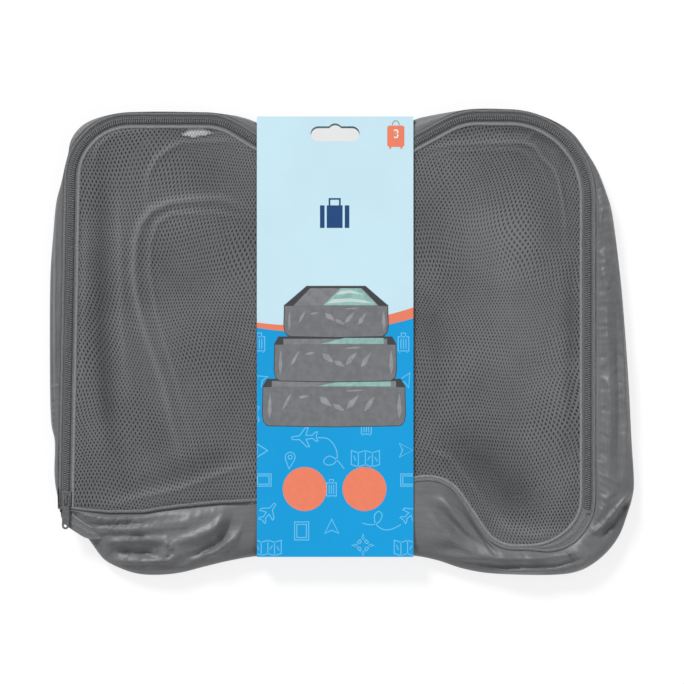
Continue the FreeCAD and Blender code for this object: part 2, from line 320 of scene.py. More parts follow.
# %% [markdown]
# Seams are covered with narrow ribbed tape, folded over the raw edges. Zip tape is woven closer still. Coils and
# stops are extruded nylon, and the slider is die-cast metal under satin paint that wears at its edges.
# %% Tapes, coils and painted metal
def ribbed(name, tone, rib=0.9, depth=0.5):
    """Narrow tape with ribs across its length."""
    material, tree, shader = finish(name, Sheen_Weight=0.3, Sheen_Roughness=0.4, Specular_IOR_Level=0.35)
    x, y, spot = place(tree, True)
    ribs = (x * (2 * math.pi / rib)).wave()
    fuzz = cloud(tree, spot, 0.7, 4.0)
    shade = (fuzz + ribs * 0.12).ramp(0.25, 0.75)
    light = [c * 1.2 for c in grey(tone)]
    dark = [c * 0.78 for c in grey(tone)]
    feed(tree, shader, Base_Color=blend_colours(tree, shade, dark, light))
    feed(tree, shader, Roughness=0.5 + fuzz * 0.2)
    feed(tree, shader, Normal=bump(tree, ribs * 0.5 + fuzz, depth, 0.3))
    return material


def moulded(name, tone, roughness, metal=0.0):
    """Smooth moulded plastic or painted metal with a faint rub-worn variation."""
    material, tree, shader = finish(name, Metallic=metal, Specular_IOR_Level=0.5)
    spot = place(tree, False)[2]
    wear = cloud(tree, spot, 0.6, 5.0)
    light = [c * 1.15 for c in grey(tone)]
    dark = [c * 0.85 for c in grey(tone)]
    feed(tree, shader, Base_Color=blend_colours(tree, wear.ramp(0.35, 0.65), dark, light))
    feed(tree, shader, Roughness=roughness + wear * 0.15)
    feed(tree, shader, Normal=bump(tree, wear, 0.15, 0.1))
    return material


piping_tape = ribbed("piping_tape", 138)
seam_tape = ribbed("seam_tape", 118)
zip_tape = woven("zip_tape", 106, gap=0.4)
coil_nylon = moulded("coil_nylon", 110, 0.5)
slider_paint = moulded("slider_paint", 112, 0.36, 0.35)
label_cloth = woven("label_cloth", 228, on_cloth=False, gap=0.5)
print("finishes so far", len(bpy.data.materials))

# %% [markdown]
# Every sewn piece here is a strip or a sheet, so one helper makes them all. It starts from a flat grid, whose
# rows and columns are the cloth's own threads, and moves each point to its place by a function of how far along
# and how far across it lies. The grid's UV map is scaled to metres, which keeps the weave the right size.
# %% Laying cloth on a surface
def lay_cloth(name, columns, rows, surface, cloth_size, material, body=None, joined=False, crest=None):
    """A piece of cloth from a grid. surface(along, across) gives a point for shares of 0 to 1.

    crest(x, y) is how far a point in millimetres stands out; the net's finish reads it to paint highlights on the
    crests and shade in the hollows.
    """
    shape = bmesh.new()
    bmesh.ops.create_grid(shape, x_segments=columns, y_segments=rows, size=0.5, calc_uvs=True)
    uv = shape.loops.layers.uv.verify()
    for face in shape.faces:
        for loop in face.loops:
            along = loop.vert.co.x + 0.5
            across = loop.vert.co.y + 0.5
            loop[uv].uv = (along * cloth_size[0], across * cloth_size[1])
    for vert in shape.verts:
        vert.co = surface(vert.co.x + 0.5, vert.co.y + 0.5)
    if crest:
        standing = shape.verts.layers.float.new("crest")
        for vert in shape.verts:
            vert[standing] = crest(vert.co.x / MM, vert.co.y / MM)
    if joined:
        bmesh.ops.remove_doubles(shape, verts=shape.verts, dist=0.02 * MM)
    return keep(name, shape, material, body)


def keep(name, shape, material, body=None, smooth=True):
    """Turns a finished bmesh into a piece that rides on a body."""
    mesh = bpy.data.meshes.new(name)
    shape.to_mesh(mesh)
    shape.free()
    if mesh.uv_layers:
        mesh.uv_layers[0].name = "cloth"
    mesh.shade_smooth() if smooth else mesh.shade_flat()
    mesh.materials.append(material)
    piece = bpy.data.objects.new(name, mesh)
    bpy.context.scene.collection.objects.link(piece)
    if body:
        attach(piece, body)
    return piece


def cloth_area(piece):
    """The area of a piece's cloth in square metres."""
    return sum(face.area for face in piece.data.polygons)


# %% [markdown]
# The zips, tapes and seams all follow the same three lines, which the base panels already have as their edges.
# The helper walks round the top face of such a panel. The points are then spaced evenly, and each gets the
# direction that points straight out of the cube, so any strip can be laid at a distance from the line.
# %% Reading a seam line from a panel
def panel_edge(panel):
    """The points of a flat panel's top edge, in order round it."""
    shape = bmesh.new()
    shape.from_mesh(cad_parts[panel].data)
    bmesh.ops.remove_doubles(shape, verts=shape.verts, dist=0.001 * MM)
    top = max(vert.co.z for vert in shape.verts)
    faces = {f for f in shape.faces if min(v.co.z for v in f.verts) > top - 0.01 * MM}
    rim = {e for e in shape.edges if len([f for f in e.link_faces if f in faces]) == 1}
    here = next(iter(rim)).verts[0]
    points = []
    while rim:
        edge = next((e for e in here.link_edges if e in rim), None)
        if edge is None:
            break
        rim.remove(edge)
        points.append(here.co.to_2d())
        here = edge.other_vert(here)
    shape.free()
    return points


def area_of(points):
    """The signed area inside a closed line, positive where it runs anticlockwise."""
    return sum(a.cross(b) for a, b in zip(points, points[1:] + points[:1])) / 2


class Line:
    """A closed line with evenly spaced stations, each with its outward direction."""

    def __init__(self, points, count):
        if area_of(points) < 0:
            points = points[::-1]
        lengths = [(b - a).length for a, b in zip(points, points[1:] + points[:1])]
        self.length = sum(lengths)
        step = self.length / count
        self.points = []
        walked = 0.0
        for a, b, length in zip(points, points[1:] + points[:1], lengths):
            while len(self.points) * step < walked + length - 1e-9 and len(self.points) < count:
                share = (len(self.points) * step - walked) / length
                self.points.append(a.lerp(b, share))
            walked += length
        count = len(self.points)
        self.out = []
        for i in range(count):
            tangent = self.points[(i + 1) % count] - self.points[i - 1]
            self.out.append(Vector((tangent.y, -tangent.x)).normalized())

    def at(self, share, away=0.0):
        """The point at a share of the length, moved out of the line by a distance."""
        place_along = (share % 1.0) * len(self.points)
        i = int(place_along) % len(self.points)
        j = (i + 1) % len(self.points)
        part = place_along - int(place_along)
        spot = self.points[i].lerp(self.points[j], part)
        return spot + self.out[i].lerp(self.out[j], part) * away

    def share_where(self, test):
        """The shares of the length between which the test on a point holds, as one run round the line."""
        count = len(self.points)
        holds = [test(p) for p in self.points]
        start = next(i for i in range(count) if holds[i] and not holds[i - 1])
        run = next(n for n in range(1, count) if not holds[(start + n) % count])
        return start / count, (start + run) / count


zip_lines = {size: Line(panel_edge(size + "_base_panel"), 720) for size in ("large", "medium", "small")}
for size, line in zip_lines.items():
    print(size, "seam line", round(line.length, 3), "m")

# %% [markdown]
# Heights and widths come from the construction pieces' boxes, so nothing is measured twice.
# %% Sizes read from the frame
def middle_height(piece):
    low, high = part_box(piece)
    return (low[2] + high[2]) / 2


zip_height = {size: middle_height(size + "_lid_mesh") for size in zip_lines}
base_height = {size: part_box(size + "_base_panel")[1][2] for size in zip_lines}
hinge_place = {}
tail_place = {}
for size in zip_lines:
    hinge_place[size] = (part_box(size + "_lid_mesh")[0][1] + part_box(size + "_hinge_strip")[1][1]) / 2
    tail_place[size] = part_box(size + "_zip_tails")[0][1]
sleeve_low, sleeve_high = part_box("sleeve_front_panel")
binding_low, binding_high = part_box("large_wall_binding")
line_high = max(p.y for p in zip_lines["large"].points)
binding_out = binding_high[1] - line_high
tape_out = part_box("large_zip_tape_wall")[1][1] - line_high
coil_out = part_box("large_zip_coil_wall")[1][1] - line_high
print("binding reaches", round(binding_out / MM, 2), "tape", round(tape_out / MM, 2), "coil", round(coil_out / MM, 2))

# %% [markdown]
# Limp cloth never lies flat. It holds long soft folds that run away from where it is gathered, here the waist
# under the sleeve and the sewn corners. A fold is written as a line with a width and a height, and the height
# fades at the line's ends. Adding many of them gives the cloth its relief, as a sculptor lays clay strips.
# %% Folds in cloth
def fold_height(folds, x, y, crisp=0.0):
    """The height in millimetres that a list of folds gives at a point in millimetres.

    crisp is the share of a fold that rises to a sharp crest, as pressed nylon does.
    """
    height = 0.0
    for points, width, rise in folds:
        best = None
        total = len(points) - 1
        for i in range(total):
            ax, ay = points[i]
            bx, by = points[i + 1]
            dx = bx - ax
            dy = by - ay
            share = ((x - ax) * dx + (y - ay) * dy) / (dx * dx + dy * dy)
            inside = min(1.0, max(0.0, share))
            gap = math.hypot(x - ax - inside * dx, y - ay - inside * dy)
            if best is None or gap < best[0]:
                best = (gap, (i + inside) / total)
        gap, along = best
        if gap < 3 * width:
            fade = min(1.0, 4.5 * along * (1 - along) + 0.06)
            round_crest = math.exp(-((gap / width) ** 2))
            sharp_crest = math.exp(-1.7 * gap / width)
            height += rise * fade * ((1 - crisp) * round_crest + crisp * sharp_crest)
    return height


def soft(low, high, value):
    """0 below low, 1 above high and a smooth rise between."""
    share = min(1.0, max(0.0, (value - low) / (high - low)))
    return share * share * (3 - 2 * share)


def away_from_sleeve(x, margin=26.0):
    """0 under the card sleeve, where the cloth is pressed flat, and 1 well clear of it, in millimetres."""
    left = sleeve_low[0] / MM
    right = sleeve_high[0] / MM
    return soft(0.0, margin, max(left - x, x - right))


# %% [markdown]
# Pushed flat, a cube's walls fold outwards into a soft collar round the lid. Their outer edge is the outline of
# the whole set, a free curve with a waist where the sleeve grips it and pinched corners where the walls bunch
# up. A handful of points with a smooth curve through them draws it better than arcs could.
# %% The folded outline of the large cube
folded_outline = [
    (190, -64), (188, -25), (185.2, 14), (182.5, 44), (177.5, 83), (173, 99), (167.5, 112.8), (160, 125),
    (150, 138), (135, 146.5), (119, 150.6), (103, 152.8), (88, 153.0), (72, 151.3), (56, 148.6), (46, 145.6),
    (36, 138), (25, 131.2), (0, 129.8), (-36, 131.2), (-48, 138.5), (-58, 145), (-71, 148.8), (-90, 150.4),
    (-122, 151.2), (-146, 150), (-162, 146.8), (-172, 141.5), (-178.6, 132.5), (-180.6, 121), (-184.6, 105.5),
    (-188.3, 92), (-190.3, 72), (-192.4, 40), (-192.6, -20), (-191.8, -52), (-189.2, -66), (-189.4, -88),
    (-186.3, -103), (-178.6, -113), (-172.6, -122), (-164.8, -133), (-157, -143), (-146, -149), (-134, -152.6),
    (-120, -153.2), (-106, -151.6), (-91, -147.8), (-75, -144), (-57, -141), (-30, -139.4), (20, -139.4),
    (46, -140.6), (62, -143.6), (78, -148.8), (95, -152), (117, -153.1), (138, -153.2), (152, -151.6),
    (163, -147), (174, -138), (182, -127), (187, -114), (190.8, -101), (191.6, -90),
]


def curve_through(points, steps):
    """A smooth closed curve through points, with a number of steps between each two."""
    count = len(points)
    corners = [Vector(p) for p in points]
    curve = []
    for i in range(count):
        before, here, after, beyond = (corners[(i + k) % count] for k in (-1, 0, 1, 2))
        for k in range(steps):
            t = k / steps
            bend = 2 * before - 5 * here + 4 * after - beyond
            twist = 3 * (here - after) + beyond - before
            curve.append(0.5 * (2 * here + (after - before) * t + bend * t * t + twist * t * t * t))
    return curve


def ray(angle):
    """Where a ray at this angle starts and its direction.

    All rays start from the middle, but those towards the hinge side start higher up, so that they cross the
    steep flank of the wave at the lower right and don't run along it.
    """
    degrees = math.degrees(angle) % 360
    raised = 100 * MM * soft(214, 246, degrees) * soft(320, 296, degrees)
    return Vector((0, raised)), Vector((math.cos(angle), math.sin(angle)))


def reach(points, angle):
    """How far along a ray it last crosses a closed line."""
    start, way = ray(angle)
    furthest = 0.0
    for a, b in zip(points, points[1:] + points[:1]):
        side_a = way.cross(a - start)
        side_b = way.cross(b - start)
        if (side_a <= 0) != (side_b <= 0):
            meet = a.lerp(b, side_a / (side_a - side_b))
            furthest = max(furthest, (meet - start).dot(way))
    return furthest


large_fold = [p * MM for p in curve_through(folded_outline, 8)]
print("outline", len(large_fold), "points")

# %% [markdown]
# At the lower left the wall flops inwards and hides the lid's sewn edge under a rolled hem. At the lower right
# the seam is bare and swings up to the waist in a wave. So the collar's inner edge is the seam line, except
# that it is pushed up to the hem line on the left.
# %% The inner edge of the large collar
hem_points = [(-200, -108.5), (-178, -109.8), (-152, -112.2), (-130, -111.6), (-107, -108.2), (-79, -105.4),
              (-56, -104.6), (-36, -106)]


def along_points(points, x):
    """The height of a broken line at x."""
    for (ax, ay), (bx, by) in zip(points, points[1:]):
        if ax <= x <= bx:
            return ay + (by - ay) * (x - ax) / (bx - ax)
    return None


def closed_up(size, point):
    """0 along the zip, and 1 along the hinge side, where lid and wall meet in one seam without a zip."""
    line = zip_lines[size]
    left = min(p.x for p in line.points)
    right = max(p.x for p in line.points)
    inwards = soft(12.0, 42.0, min(point.x - left, right - point.x) / MM)
    return inwards * soft(0.0, 8.0, (hinge_place[size] - point.y) / MM)


def collar_start(size, hem):
    """The inner edge of a collar: the seam binding, or the hem where that lies further in."""
    edge = []
    line = zip_lines[size]
    for point, out in zip(line.points, line.out):
        spot = point + out * binding_out * (1 - 0.6 * closed_up(size, point))
        hem_y = along_points(hem, spot.x / MM) if hem else None
        if hem_y is not None and spot.y < hem_y * MM and spot.y < 0:
            spot = Vector((spot.x, hem_y * MM))
        edge.append(spot)
    return edge


# %% [markdown]
# The folds that catch the light: creases that fan out from the pinched lower left corner, an eye-shaped pocket
# below them, two broad diagonal folds beside the sleeve, a hollow under the wave at the lower right, a crease
# where the right wall doubles over, and long soft folds down both sides. Each is a line, a width and a height.
# %% Folds in the large collar
collar_folds = [
    ([(-171, -115), (-140, -115.5), (-106, -112)], 1.5, 1.5),
    ([(-167, -119), (-140, -118.6), (-104, -115)], 1.3, -1.4),
    ([(-163, -122), (-136, -122.5), (-106, -119.5), (-84, -112)], 2.0, 2.0),
    ([(-158, -126), (-132, -126.8), (-110, -125)], 1.5, -1.6),
    ([(-158, -131.5), (-133, -129), (-117, -130.5), (-107, -137.5)], 1.8, 3.2),
    ([(-157, -143.5), (-133, -144), (-114, -143), (-106.5, -138.5)], 1.8, 2.8),
    ([(-152, -137), (-138, -137), (-119, -138.5)], 3.6, -5.0),
    ([(-119, -135.5), (-115.5, -138.2), (-119, -140.5)], 1.3, 2.4),
    ([(-116, -133), (-96, -127), (-84, -121.5), (-77, -113)], 3.2, 4.2),
    ([(-110, -146), (-95, -139), (-82, -132), (-74, -119), (-72, -111)], 3.2, -3.6),
    ([(-104, -144.5), (-84, -137), (-70, -128), (-61, -113)], 2.6, 3.8),
    ([(-96, -149), (-76, -142.5), (-58, -136)], 2.0, -1.8),
    ([(-150, -148), (-128, -149.5), (-104, -149)], 1.6, 1.4),
    ([(-174, -113.5), (-150, -113.8), (-128, -113)], 0.8, 0.9), ([(-170, -117.2), (-146, -117), (-122, -115.5)], 0.8, 0.9),
    ([(-165, -120.6), (-142, -120.6), (-120, -118.4)], 0.8, -0.9), ([(-162, -124.6), (-145, -125)], 0.8, 0.9),
    ([(-150, -133.5), (-136, -134.5), (-124, -136)], 0.9, 1.4), ([(-146, -140.5), (-130, -141)], 0.9, 1.2),
    ([(-128, -134), (-121, -137), (-127, -139.6)], 0.9, 1.6), ([(-103, -133), (-92, -128), (-85, -124)], 0.9, 0.9),
    ([(-92, -143), (-82, -138.5), (-70, -131)], 0.9, 0.9), ([(-68, -107.5), (-62, -112), (-58, -120)], 1.4, 1.6),
    ([(50, -101), (64, -112), (80, -126), (97, -137)], 4.5, -4.2),
    ([(57, -95), (68, -106), (78, -121), (90, -133)], 3.2, 3.0),
    ([(47, -134), (62, -134.8), (79, -134)], 0.9, -1.1),
    ([(47, -126), (66, -129), (88, -138), (112, -142)], 4.0, 2.2),
    ([(52, -139), (90, -142), (128, -141.5), (156, -137)], 2.0, 2.2),
    ([(70, -143.5), (105, -147.5), (140, -146.8), (160, -141)], 1.4, -2.2),
    ([(80, -147), (110, -150.3), (142, -149.6)], 1.2, 1.4),
    ([(193, -97), (184, -103.5), (177, -112), (170, -120), (160, -127.5)], 1.3, 3.4),
    ([(170, -84), (176, -90), (182, -94)], 1.3, 1.1), ([(168, -108), (176, -102), (184, -98)], 1.5, -1.2),
    ([(66, -139), (96, -140.4), (130, -139.6)], 0.9, 0.9), ([(90, -143.6), (124, -145)], 0.9, 0.9),
    ([(110, -131), (134, -136), (152, -134)], 1.6, -1.2), ([(56, -112), (66, -124), (80, -134)], 2.6, 1.6),
    ([(171, 52), (176, 44), (172, 34), (177, 24)], 1.0, 0.9), ([(170, -22), (175, -30), (172, -40)], 1.0, 0.9),
    ([(183, 60), (185, 44), (184, 28)], 1.2, 1.1), ([(176, 88), (173, 98), (167, 108)], 1.0, 1.2),
    ([(191, -103), (184, -109.5), (177, -119), (168, -128)], 2.6, -3.2),
    ([(176, -98), (171, -107), (166, -116)], 3.0, 2.0),
    ([(171, 62), (173, 10), (174.5, -45), (173, -100)], 3.0, 1.8),
    ([(178, 40), (180, -10), (181, -55), (180, -95)], 3.2, -2.2),
    ([(182, 30), (184.5, -10), (186, -50), (186, -92)], 2.0, 1.6),
    ([(168, -16), (169.5, -50), (168.5, -88)], 1.6, -1.6),
    ([(166, 96), (170, 88), (168, 78), (171, 70)], 1.8, 1.6),
    ([(167, 60), (172, 54), (169, 46), (173, 36)], 2.0, 1.2),
    ([(-189.6, 70), (-190.4, 20), (-190, -30), (-188, -62)], 1.0, -2.4),
    ([(-187.5, 86), (-188.2, 30), (-188, -40)], 0.9, 1.4),
    ([(-176, 129), (-181, 121), (-186, 108)], 1.6, -2.0),
    ([(-187, -70), (-186, -84), (-184, -100)], 1.4, 1.4),
    ([(-160, 149), (-120, 150), (-80, 148.5)], 1.2, 1.0),
    ([(70, 150.5), (110, 151.5), (150, 141), (166, 116)], 1.2, 1.2),
]


def puckers(x, y):
    """The small gathers of thin nylon, in millimetres."""
    spot = Vector((x, y, 0))
    broad = noise.noise(spot * 0.045) * 1.5
    fine = noise.noise(Vector((x * 0.16, y * 0.16, 5))) * 0.7
    return broad + fine + noise.noise(spot * 0.42) * 0.25


def under_wave(x, y):
    """1 below the wave at the lower right, where the wall sinks into a hollow beside the seam, in millimetres."""
    return soft(46, 56, x) * soft(106, 86, x) * soft(-84, -92, y)


def collar(size, inner, outer, folds, top, fold_height_mm, base, hem_rise):
    """The surface of a folded wall: over the top from the seam, round the outer fold and back to the base."""
    base_line = [p + n * coil_out for p, n in zip(zip_lines[size].points, zip_lines[size].out)]
    share_of_top = 0.74
    reaches = {}

    def surface(angle, across):
        key = round(angle, 6)
        if key not in reaches:
            reaches[key] = reach(inner, angle), reach(outer, angle), reach(base_line, angle)
        start, end, low = reaches[key]
        middle, way = ray(angle)
        if across <= share_of_top:
            part = across / share_of_top
            run = 1 - (1 - part) ** 1.7
            spot = middle + way * (start + (end - start) * run)
            x = spot.x / MM
            y = spot.y / MM
            free = away_from_sleeve(x)
            attached = soft(0.0, 0.22, run) * soft(1.0, 0.86, run)
            wide = soft(2.0, 14.0, (end - start) / MM)
            relief = fold_height(folds, x, y, crisp=0.6) * 1.2 + puckers(x, y) * wide * 1.15
            hem = hem_rise(x, y) * soft(0.0, 0.05, part) * soft(0.6, 0.1, run)
            from_seam = run * (end - start) / MM
            gather = noise.noise(Vector((angle * start / MM * 0.32, from_seam * 0.05, 7)))
            relief += 0.8 * gather * math.exp(-((from_seam - 4.0) / 5.0) ** 2)
            if size == "large":
                relief -= 8.0 * under_wave(x, y) * math.exp(-((from_seam - 6.0) / 4.5) ** 2)
            lift = 1.6 * wide * math.sin(math.pi * min(1.0, run * 1.15))
            height = fold_height_mm + (top - fold_height_mm) * math.sqrt(1 - run ** 5)
            height += (relief * attached + lift) * (0.12 + 0.88 * free) * (wide * 0.6 + 0.4) + hem * free
            ceiling = top + 0.6 + 7.0 * free
            return Vector((spot.x, spot.y, min(height, ceiling) * MM))
        part = (1 - across) / (1 - share_of_top)
        run = 1 - (1 - part) ** 1.7
        spot = middle + way * (low + (end - low) * run)
        drop = (fold_height_mm - base) * math.sqrt(1 - run ** 5)
        return Vector((spot.x, spot.y, (fold_height_mm - drop) * MM))

    return surface


def wall_piece(name, surface, first, last, columns, rows, length, material):
    """One wall, between two angles round the cube."""
    def lay(along, across):
        return surface(first + (last - first) * along, across)
    return lay_cloth(name, columns, rows, lay, length, material, "stack")


wall_angles = {
    "right": (-40, 41), "front": (41, 142), "left": (142, 214), "hinge": (214, 320),
}


def make_walls(size, inner, outer, folds, fold_height_mm, hem_rise, columns, rows, depth):
    """The four walls of one cube."""
    top = zip_height[size] / MM + 0.35
    base = base_height[size] / MM - 0.2
    surface = collar(size, inner, outer, folds, top, fold_height_mm, base, hem_rise)
    for side, (first, last) in wall_angles.items():
        share = (last - first) / 360
        length = zip_lines[size].length * share
        piece = wall_piece(f"{size}_{side}_wall_cloth", surface, math.radians(first), math.radians(last),
                           int(columns * share), rows, (length, depth), nylon)
        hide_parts(f"{size}_wall_{side}")
        cloth_area(piece) / length


def large_hem(x, y):
    """The rolled hem stands highest at the lower left, where the wall hides the lid's edge."""
    if x < -50 and y < -95:
        return 2.4
    if x > 46 and y < -78:
        return 0.8
    return 0.3


make_walls("large", collar_start("large", hem_points), large_fold, collar_folds, 6.0, large_hem,
           1500, 34, 70 * MM)
print("large walls laid")

# %% [markdown]
# The walls of the two inner cubes are the same idea, with plainer folds, since they are only seen through net.
# %% Walls of the inner cubes
def plain_hem(x, y):
    return 0.2


for size, fold in (("medium", 5.0), ("small", 4.0)):
    line = zip_lines[size]
    outer = [p + n * (binding_out + fold * MM) for p, n in zip(line.points, line.out)]
    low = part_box(size + "_wall_front")[0][2] / MM
    middle = (low + zip_height[size] / MM) / 2
    make_walls(size, collar_start(size, None), outer, [], middle, plain_hem, 560, 18, 26 * MM)
print("inner walls laid")

# %% [markdown]
# The net lids are drawn tight between their seams but droop and ride over what lies under them. The edge of the
# small cube shows as a strong curved ridge, the medium cube's corners as fainter ones, and the net dips in the
# gap between the two cubes. These ridges are lines again, so the same helper gives their height.
# %% Relief of the nets
# Besides shaping the nets, these heights lighten the net's colour on the ridges and darken it in the dips, as painted
# highlights and painted shade.
large_net_folds = [
    ([(-56, 86), (-80, 93.6), (-97, 93), (-113, 91), (-125, 86), (-132.5, 76.5), (-135.8, 64), (-136.8, 46),
      (-135.6, 32), (-132.6, 17), (-128.2, 3), (-123, -12), (-117, -30), (-111, -58), (-102, -86)], 2.6, 2.7),
    ([(-56, 79.5), (-84, 84.5), (-112, 83.6), (-121.6, 77.5), (-126, 64), (-126.6, 44), (-122, 18), (-113, -12),
      (-103, -48), (-93, -84)], 1.6, 1.3),
    ([(-128, 90), (-127.6, 109), (-121.8, 120), (-112.6, 127.3), (-105.4, 130.4), (-56, 132.5)], 1.7, 1.5),
    ([(-163, 112), (-161.2, 127), (-152.7, 135), (-146, 138), (-106, 141.5)], 1.5, 1.1),
    ([(-157, 122), (-157, 60), (-157, 0), (-153, -50), (-146, -84)], 5.5, -2.4),
    ([(-147, 106), (-146, 60), (-145, 10), (-140, -40)], 3.0, 1.1),
    ([(-168, 100), (-169, 30), (-171, -50)], 2.4, 0.7),
    ([(-155, -107), (-128, -100), (-107, -96), (-74, -84), (-57, -79)], 2.2, 1.2),
    ([(-150, -100), (-110, -88), (-70, -72)], 7.0, -1.2),
    ([(46, 124), (73, 129.4), (117, 130.6), (125.5, 128), (130, 121), (138.2, 112.6), (141.4, 105),
      (144, 91), (145.4, 80), (146, 60)], 1.5, 2.2),
    ([(46, 119), (73, 125), (114, 126), (121, 123), (131, 111), (137, 98), (140, 80)], 1.2, 0.8),
    ([(60, 138), (118, 139), (143, 126), (152, 100)], 3.4, -1.2),
    ([(120, 131), (124, 136), (126, 141)], 1.0, 1.0),
    ([(60, -56), (88, -78), (112, -100), (136, -116)], 15.0, -2.6),
    ([(92, -108), (108, -122), (128, -128), (146, -124)], 4.0, 1.2),
    ([(62, 96), (100, 60), (118, 0), (112, -52)], 24.0, 1.4),
    ([(150, 60), (151, 0), (149, -70)], 4.0, -1.4),
    ([(56, -70), (70, -76), (84, -92), (96, -110)], 2.4, 1.4),
    ([(52, 40), (66, -10), (60, -60)], 9.0, -1.0),
]
inner_net_folds = [
    ([(-120, 88), (-100, 92), (0, 92), (80, 90), (86, 70), (87, -60)], 4.0, 0.45),
    ([(-118, 80), (-112, 20), (-104, -60)], 4.0, 0.45),
]


def crossing(points, x):
    """The lowest and highest y at which a closed line crosses a given x."""
    found = []
    for a, b in zip(points, points[1:] + points[:1]):
        if (a.x <= x) != (b.x <= x):
            found.append(a.y + (b.y - a.y) * (x - a.x) / (b.x - a.x))
    return min(found), max(found)


label_corners = [(-107.5, 135.8), (-98.2, 133.4), (-82.8, 136.9), (-97.0, 142.2)]


def over_label(x, y):
    """1 over the care label, where the net is stretched open, and 0 elsewhere."""
    for (ax, ay), (bx, by) in zip(label_corners, label_corners[1:] + label_corners[:1]):
        if (bx - ax) * (y - ay) - (by - ay) * (x - ax) < 0:
            return 0.0
    return 1.0


def spread_inside(rim):
    """Fits a grid inside a closed line: its width, its depth, and a function from two shares to a point.

    The function also gives how far that point is from the line, in millimetres.
    """
    left = min(p.x for p in rim) + 0.02 * MM
    right = max(p.x for p in rim) - 0.02 * MM
    width = right - left
    depth = max(p.y for p in rim) - min(p.y for p in rim)
    spans = {}

    def spot(along, across):
        key = round(along, 6)
        if key not in spans:
            edge = (1 - math.cos(math.pi * along)) / 2
            x = left + width * (0.35 * edge + 0.65 * along)
            spans[key] = (x, *crossing(rim, x))
        x, low, high = spans[key]
        y = low + (high - low) * across
        return x, y, min(x - left, right - x, y - low, high - y) / MM

    return width, depth, spot


def make_net(size, material, folds, columns, rows, ripple):
    """The net lid of one cube, sewn in on all sides."""
    line = zip_lines[size]
    rim = [p - n * (tape_out + 0.6 * MM) * (1 - 0.75 * closed_up(size, p)) for p, n in zip(line.points, line.out)]
    width, depth, spot = spread_inside(rim)
    level = zip_height[size] / MM

    def surface(along, across):
        x, y, gap = spot(along, across)
        held = soft(0.0, 7.0, gap)
        height = fold_height(folds, x / MM, y / MM) + noise.noise(Vector((x, y, level * MM)) * 30) * ripple
        free = away_from_sleeve(x / MM, 18)
        height = height * held * (0.15 + 0.85 * free if height > 0 else 1.0)
        return Vector((x, y, (level + height) * MM))

    # The fold heights are stored as crest, from which the net's finish paints highlights on the ridges and shade in
    # the hollows. Over the care label the crest is pushed far down, which makes the net almost see-through there.
    piece = lay_cloth(size + "_net", columns, rows, surface, (width, depth), material,
                      crest=lambda x, y: fold_height(folds, x, y) - 7.0 * over_label(x, y) * (size == "large"))
    layer = piece.data.uv_layers["cloth"].data
    for loop in piece.data.loops:
        point = piece.data.vertices[loop.vertex_index].co
        layer[loop.index].uv = (point.x, point.y)
    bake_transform(piece)
    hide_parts(size + "_lid_mesh", size + "_hinge_strip")
    return piece


make_net("large", large_net, large_net_folds, 250, 190, 0.5)
make_net("medium", medium_net, inner_net_folds, 120, 100, 0.3)
make_net("small", small_net, [], 90, 80, 0.3)
print("nets laid")

# %% [markdown]
# Each cube's bottom is one panel of nylon with a matt waterproof coat. It lies slack on what is under it, so it has
# only low broad ripples. The grid is laid the other way round, because its outer face looks down.
# %% Bottom panels
ripple_height = 0.25


def make_bottom(size, columns, rows):
    """The bottom panel of one cube, slack between its seams."""
    rim = [p - n * 0.1 * MM for p, n in zip(zip_lines[size].points, zip_lines[size].out)]
    width, depth, spot = spread_inside(rim)
    level = middle_height(size + "_base_panel")

    def surface(along, across):
        x, y, gap = spot(along, 1 - across)
        ripple = noise.noise(Vector((x * 28, y * 28, level))) * ripple_height * soft(0.0, 10.0, gap)
        return Vector((x, y, level + ripple * MM))

    piece = lay_cloth(size + "_bottom_cloth", columns, rows, surface, (width, depth), coated_nylon, "stack")
    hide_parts(size + "_base_panel")


for size, columns, rows in (("large", 140, 110), ("medium", 90, 80), ("small", 70, 60)):
    make_bottom(size, columns, rows)
print("bottoms laid")

# %% [markdown]
# Round each net runs a cord-like seam binding, and outside the zip a second one holds the wall. A round tube
# swept along the line, slightly flattened, reads as folded tape pulled tight over its edge.
# %% Seam bindings
def seam_tube(name, line, away, height, radius, material, squeeze=0.85, shares=(0, 1), wobble=0.0, lift=None,
              closing=None):
    """A tape rolled over a seam, at a distance from a line, and lifted by some millimetres where lift says."""
    sides = 10
    whole = shares == (0, 1)
    length = line.length * (shares[1] - shares[0])
    columns = int(length / (1.6 * MM))

    def surface(along, across):
        share = shares[0] + (shares[1] - shares[0]) * along
        turn = 2 * math.pi * across
        base = line.at(share)
        out = line.at(share, MM) - base
        spot = base + out / MM * away * (1 - 0.75 * closed_up(closing, base) if closing else 1.0)
        swing = noise.noise(Vector((share * 160, away * 900, radius * 300))) * wobble
        side = math.cos(turn) * radius + swing
        raised = height + (lift(spot.x / MM, spot.y / MM) * MM if lift else 0)
        return Vector((*(spot + out / MM * side), raised + math.sin(turn) * radius * squeeze))

    return lay_cloth(name, columns, sides, surface, (length, 2 * math.pi * radius), material, joined=True)


def hem_lift(x, y):
    """The binding climbs with the wall where it flops inwards at the lower left."""
    return 2.3 * soft(-180.0, -168.0, x) * soft(-50.0, -66.0, x) if y < -90 else 0.0


for size, line in zip_lines.items():
    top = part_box(size + "_lid_binding")[1][2]
    tape_middle = (tape_out + binding_out) / 2
    lid_binding = seam_tube(size + "_lid_piping", line, -tape_middle, top - 1.1 * MM, 1.05 * MM, piping_tape,
                            wobble=0.15 * MM, closing=size)
    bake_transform(lid_binding)
    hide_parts(size + "_lid_binding")
    hem = Line(collar_start(size, hem_points if size == "large" else None), 720)
    wall_binding = seam_tube(size + "_wall_piping", hem, -1.1 * MM, top - 1.0 * MM, 1.1 * MM, seam_tape,
                             wobble=0.2 * MM, lift=hem_lift if size == "large" else None)
    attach(wall_binding, "stack")
    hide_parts(size + "_wall_binding")
print("bindings laid")

